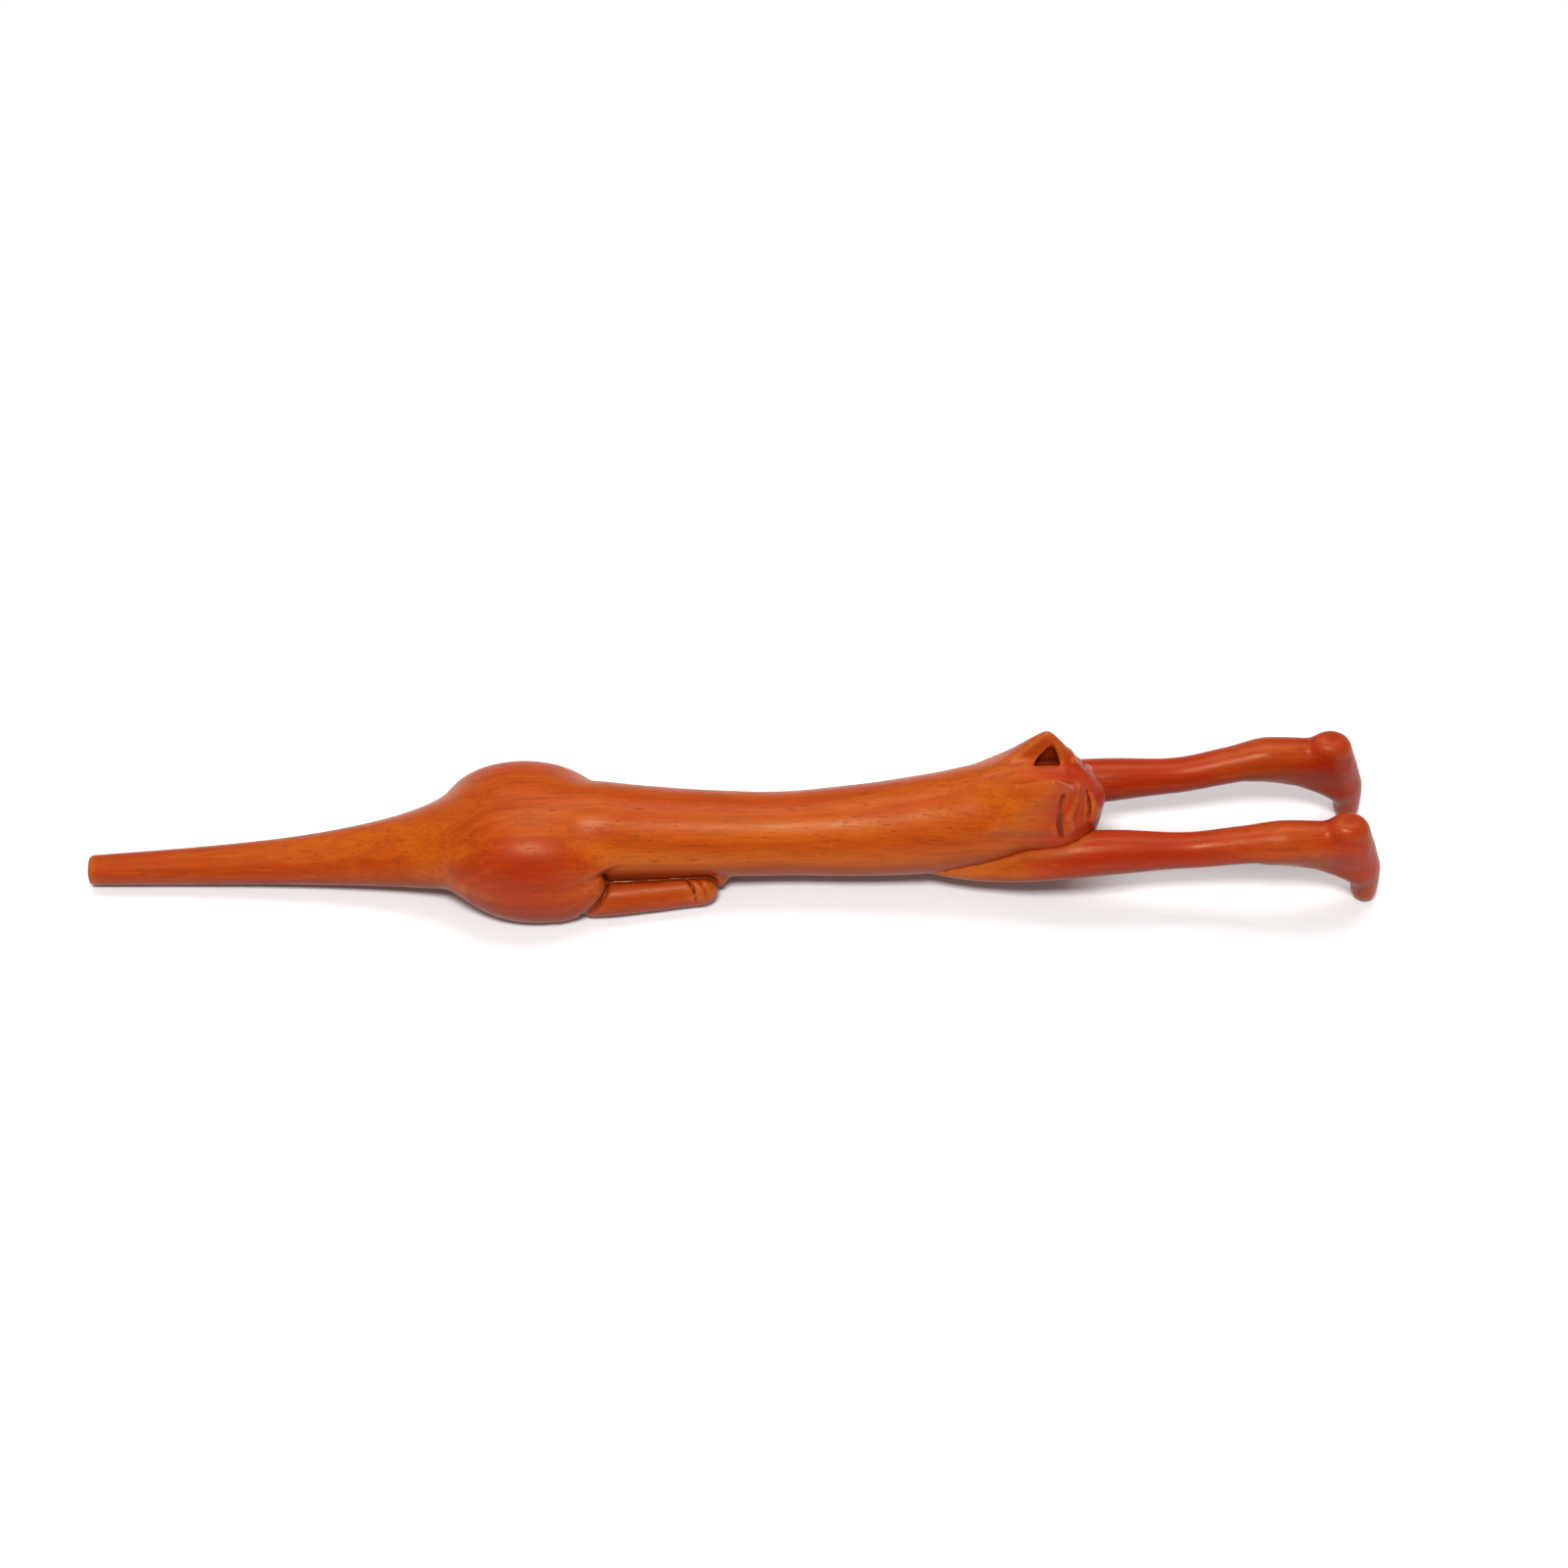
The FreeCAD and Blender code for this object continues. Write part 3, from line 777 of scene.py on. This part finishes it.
def stain_colour(nodes, bands, red_shift):
    """Orange to red, by the painted redness and some blotches."""
    blotches = nodes.noise(nodes.places((28.0, 60.0, 60.0)), 1.0, 3.0, 0.55)
    orange = nodes.mix(nodes.stretch(bands, 0.35, 0.68), ORANGE_DARK, ORANGE_LIGHT)
    red = nodes.mix(nodes.stretch(bands, 0.35, 0.68), RED_DARK, RED_LIGHT)
    share = nodes.maths("ADD", nodes.attribute("redness"), red_shift)
    share = nodes.maths("ADD", share, nodes.stretch(blotches, 0.3, 0.7, -0.22, 0.22))
    return nodes.mix(nodes.stretch(share, 0.0, 1.0), orange, red)


def stained_wood(name, red_shift):
    """Orange-brown stain over fine straight grain, darker in hollows where the stain pools and with painted
    shade there, and with painted shade on the underside.
    """
    nodes = Nodes(name)
    streaks, fine, pores, bands = grain(nodes)
    colour = stain_colour(nodes, bands, red_shift)

    colour = nodes.mix(nodes.stretch(streaks, 0.52, 0.70, 0.0, 0.50), colour, STREAK_DARK)
    colour = nodes.mix(nodes.stretch(streaks, 0.46, 0.30, 0.0, 0.20), colour, STREAK_LIGHT)
    colour = nodes.mix(nodes.stretch(fine, 0.52, 0.74, 0.0, 0.45), colour, FINE_DARK)
    pore_share = nodes.stretch(pores, 0.66, 0.74, 0.0, 0.70)
    colour = nodes.mix(pore_share, colour, PORE_DARK)

    facing_down, hollow = nodes.attribute("underside"), nodes.attribute("hollow")
    # painted shade: surfaces that face down are darkened
    colour = nodes.mix(nodes.stretch(facing_down, 0.25, 0.9, 0.0, 0.72), colour, PAINTED_UNDERSIDE_SHADE)
    # darker in hollows and carved lines: stain that pools there, and painted shade
    colour = nodes.mix(nodes.stretch(hollow, 0.03, 0.22, 0.0, 0.75), colour, POOLED_STAIN_AND_SHADE)
    colour = nodes.mix(nodes.stretch(hollow, -0.08, -0.25, 0.0, 0.30), colour, WORN_EDGE)
    nodes.feed(nodes.shader.inputs["Base Color"], colour)

    patches = nodes.noise(nodes.places((90.0, 200.0, 200.0)), 1.0, 3.0)
    rough = nodes.stretch(patches, 0.3, 0.7, 0.30, 0.42)
    rough = nodes.maths("ADD", rough, nodes.stretch(pores, 0.66, 0.78, 0.0, 0.2))
    nodes.feed(nodes.shader.inputs["Roughness"], rough)
    nodes.shader.inputs["Specular IOR Level"].default_value = 0.22
    nodes.shader.inputs["Specular Tint"].default_value = HIGHLIGHT_TINT

    height = nodes.maths("MULTIPLY", pore_share, -0.7)
    height = nodes.maths("ADD", height, nodes.maths("MULTIPLY", fine, 0.25))
    height = nodes.maths("ADD", height, nodes.maths("MULTIPLY", streaks, 0.45))
    nodes.raise_bumps(height, 0.35, 0.12 * MM)
    return nodes.material


def bare_wood(name, light, dark):
    """Unstained wood, with the same straight grain."""
    nodes = Nodes(name)
    streaks, fine, pores, bands = grain(nodes)
    colour = nodes.mix(nodes.stretch(bands, 0.35, 0.65), light, dark)
    colour = nodes.mix(nodes.stretch(streaks, 0.50, 0.72, 0.0, 0.5), colour, dark)
    colour = nodes.mix(nodes.stretch(fine, 0.55, 0.75, 0.0, 0.4), colour, dark)
    nodes.feed(nodes.shader.inputs["Base Color"], colour)
    nodes.feed(nodes.shader.inputs["Roughness"], nodes.stretch(streaks, 0.3, 0.7, 0.5, 0.7))
    nodes.raise_bumps(nodes.maths("ADD", fine, pores), 0.4, 0.1 * MM)
    return nodes.material


# ---- the object ----
def finish_piece(piece, node, material):
    sharp_angle = 40
    piece.data.materials.clear()
    piece.data.materials.append(material)
    piece.data.shade_smooth()
    piece.data.set_sharp_from_angle(angle=math.radians(sharp_angle))
    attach(piece, "root")
    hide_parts(node)


def flattened(clay):
    """The field with everything under the ground cut off."""
    return np.maximum(clay.field, GROUND_Z - clay.axes[2].reshape(1, 1, -1))


def make_wood():
    orange = stained_wood("orange_stained_wood", red_shift=0.0)
    red = stained_wood("red_stained_wood", red_shift=0.12)
    body, leg = sculpt_body(), sculpt_foreleg()
    seam_between(body, leg)
    body.field, leg.field = flattened(body), flattened(leg)
    make_body_pieces(body, orange)
    make_forelegs(leg, red)


def make_body_pieces(body, orange):
    """The body, its belly plate and the tail, cut from copies of one carved form."""
    hollow = hollowness(body)
    carved_body = mesh_from_clay("carved_body", body)
    carved_belly_plate = copy_of(carved_body, "carved_belly_plate")
    carved_tail = copy_of(carved_body, "carved_tail")
    cut_body_shell(carved_body)
    cut_belly_plate(carved_belly_plate)
    cut_tail(carved_tail)
    for piece, node in (
        (carved_body, "body_shell"), (carved_belly_plate, "belly_plate"), (carved_tail, "tail_mouthpiece"),
    ):
        paint_wood(piece, body, hollow)
        finish_piece(piece, node, orange)


def make_forelegs(leg, red):
    hollow = hollowness(leg)
    for side, name in ((1, "left"), (-1, "right")):
        piece = mesh_from_clay(f"carved_{name}_foreleg", leg, side)
        paint_wood(piece, leg, hollow)
        finish_piece(piece, f"{name}_foreleg", red)


def finish_plain_parts():
    """The CAD's own block, dowels and pins, which have the right shape, in unstained wood."""
    plain = bare_wood("bare_wood", *PLAIN_WOOD)
    bamboo = bare_wood("bamboo", *BAMBOO)
    for node, material in (("fipple_block", plain), ("foreleg_dowels", plain), ("belly_plate_pins", bamboo)):
        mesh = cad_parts[node].data
        mesh.materials.clear()
        mesh.materials.append(material)


# ---- the studio ----
FLOOR_HALF = 6.0
CAMERA_TARGET, CAMERA_AZIMUTH, CAMERA_ELEVATION = Vector((0.0148, 0.0105, 0.0227)), -1.6, 50.0
CAMERA_DISTANCE, CAMERA_LENS, SENSOR_WIDTH = 0.71, 58.8, 36.0
LIGHT_TARGET = Vector((0, 0, 0.02))


def make_floor():
    shape = bmesh.new()
    bmesh.ops.create_grid(shape, x_segments=1, y_segments=1, size=FLOOR_HALF)
    mesh = bpy.data.meshes.new("floor")
    shape.to_mesh(mesh)
    shape.free()
    floor = bpy.data.objects.new("floor", mesh)
    bpy.context.scene.collection.objects.link(floor)
    nodes = Nodes("pale_floor")
    nodes.shader.inputs["Base Color"].default_value = (0.92, 0.92, 0.92, 1)
    nodes.shader.inputs["Roughness"].default_value = 0.9
    nodes.shader.inputs["Specular IOR Level"].default_value = 0.1
    mesh.materials.append(nodes.material)


def from_angles(target, azimuth, elevation, distance):
    """A place at a distance from the target. Azimuth 0 is towards -Y, and 90 towards +X."""
    a, e = math.radians(azimuth), math.radians(elevation)
    return target + Vector((math.sin(a) * math.cos(e), -math.cos(a) * math.cos(e), math.sin(e))) * distance


def soft_light(name, azimuth, elevation, distance, size, power):
    """A rectangular lamp that faces the object. Its size is in metres and its power in watts."""
    light = bpy.data.lights.new(name, "AREA")
    light.shape = "RECTANGLE"
    light.size, light.size_y = size
    light.energy = power
    lamp = bpy.data.objects.new(name, light)
    bpy.context.scene.collection.objects.link(lamp)
    lamp.location = from_angles(LIGHT_TARGET, azimuth, elevation, distance)
    lamp.rotation_euler = (LIGHT_TARGET - lamp.location).to_track_quat("-Z", "Y").to_euler()


def make_lights():
    world = bpy.data.worlds.new("studio")
    world.use_nodes = True
    background = world.node_tree.nodes["Background"]
    background.inputs["Color"].default_value = (1.0, 1.0, 1.0, 1)
    background.inputs["Strength"].default_value = 0.26
    bpy.context.scene.world = world
    soft_light("key", -6, 66, 1.0, (0.34, 0.20), 8.4)
    soft_light("top", 172, 66, 1.3, (1.2, 0.6), 9.5)


def make_camera():
    camera_data = bpy.data.cameras.new("camera")
    camera = bpy.data.objects.new("camera", camera_data)
    bpy.context.scene.collection.objects.link(camera)
    camera_data.sensor_width = SENSOR_WIDTH
    camera_data.lens = CAMERA_LENS
    camera.location = from_angles(CAMERA_TARGET, CAMERA_AZIMUTH, CAMERA_ELEVATION, CAMERA_DISTANCE)
    camera.rotation_euler = (CAMERA_TARGET - camera.location).to_track_quat("-Z", "Y").to_euler()
    bpy.context.scene.camera = camera


make_camera()
make_lights()
make_floor()
make_wood()
finish_plain_parts()
bpy.context.scene.view_settings.view_transform = "Standard"
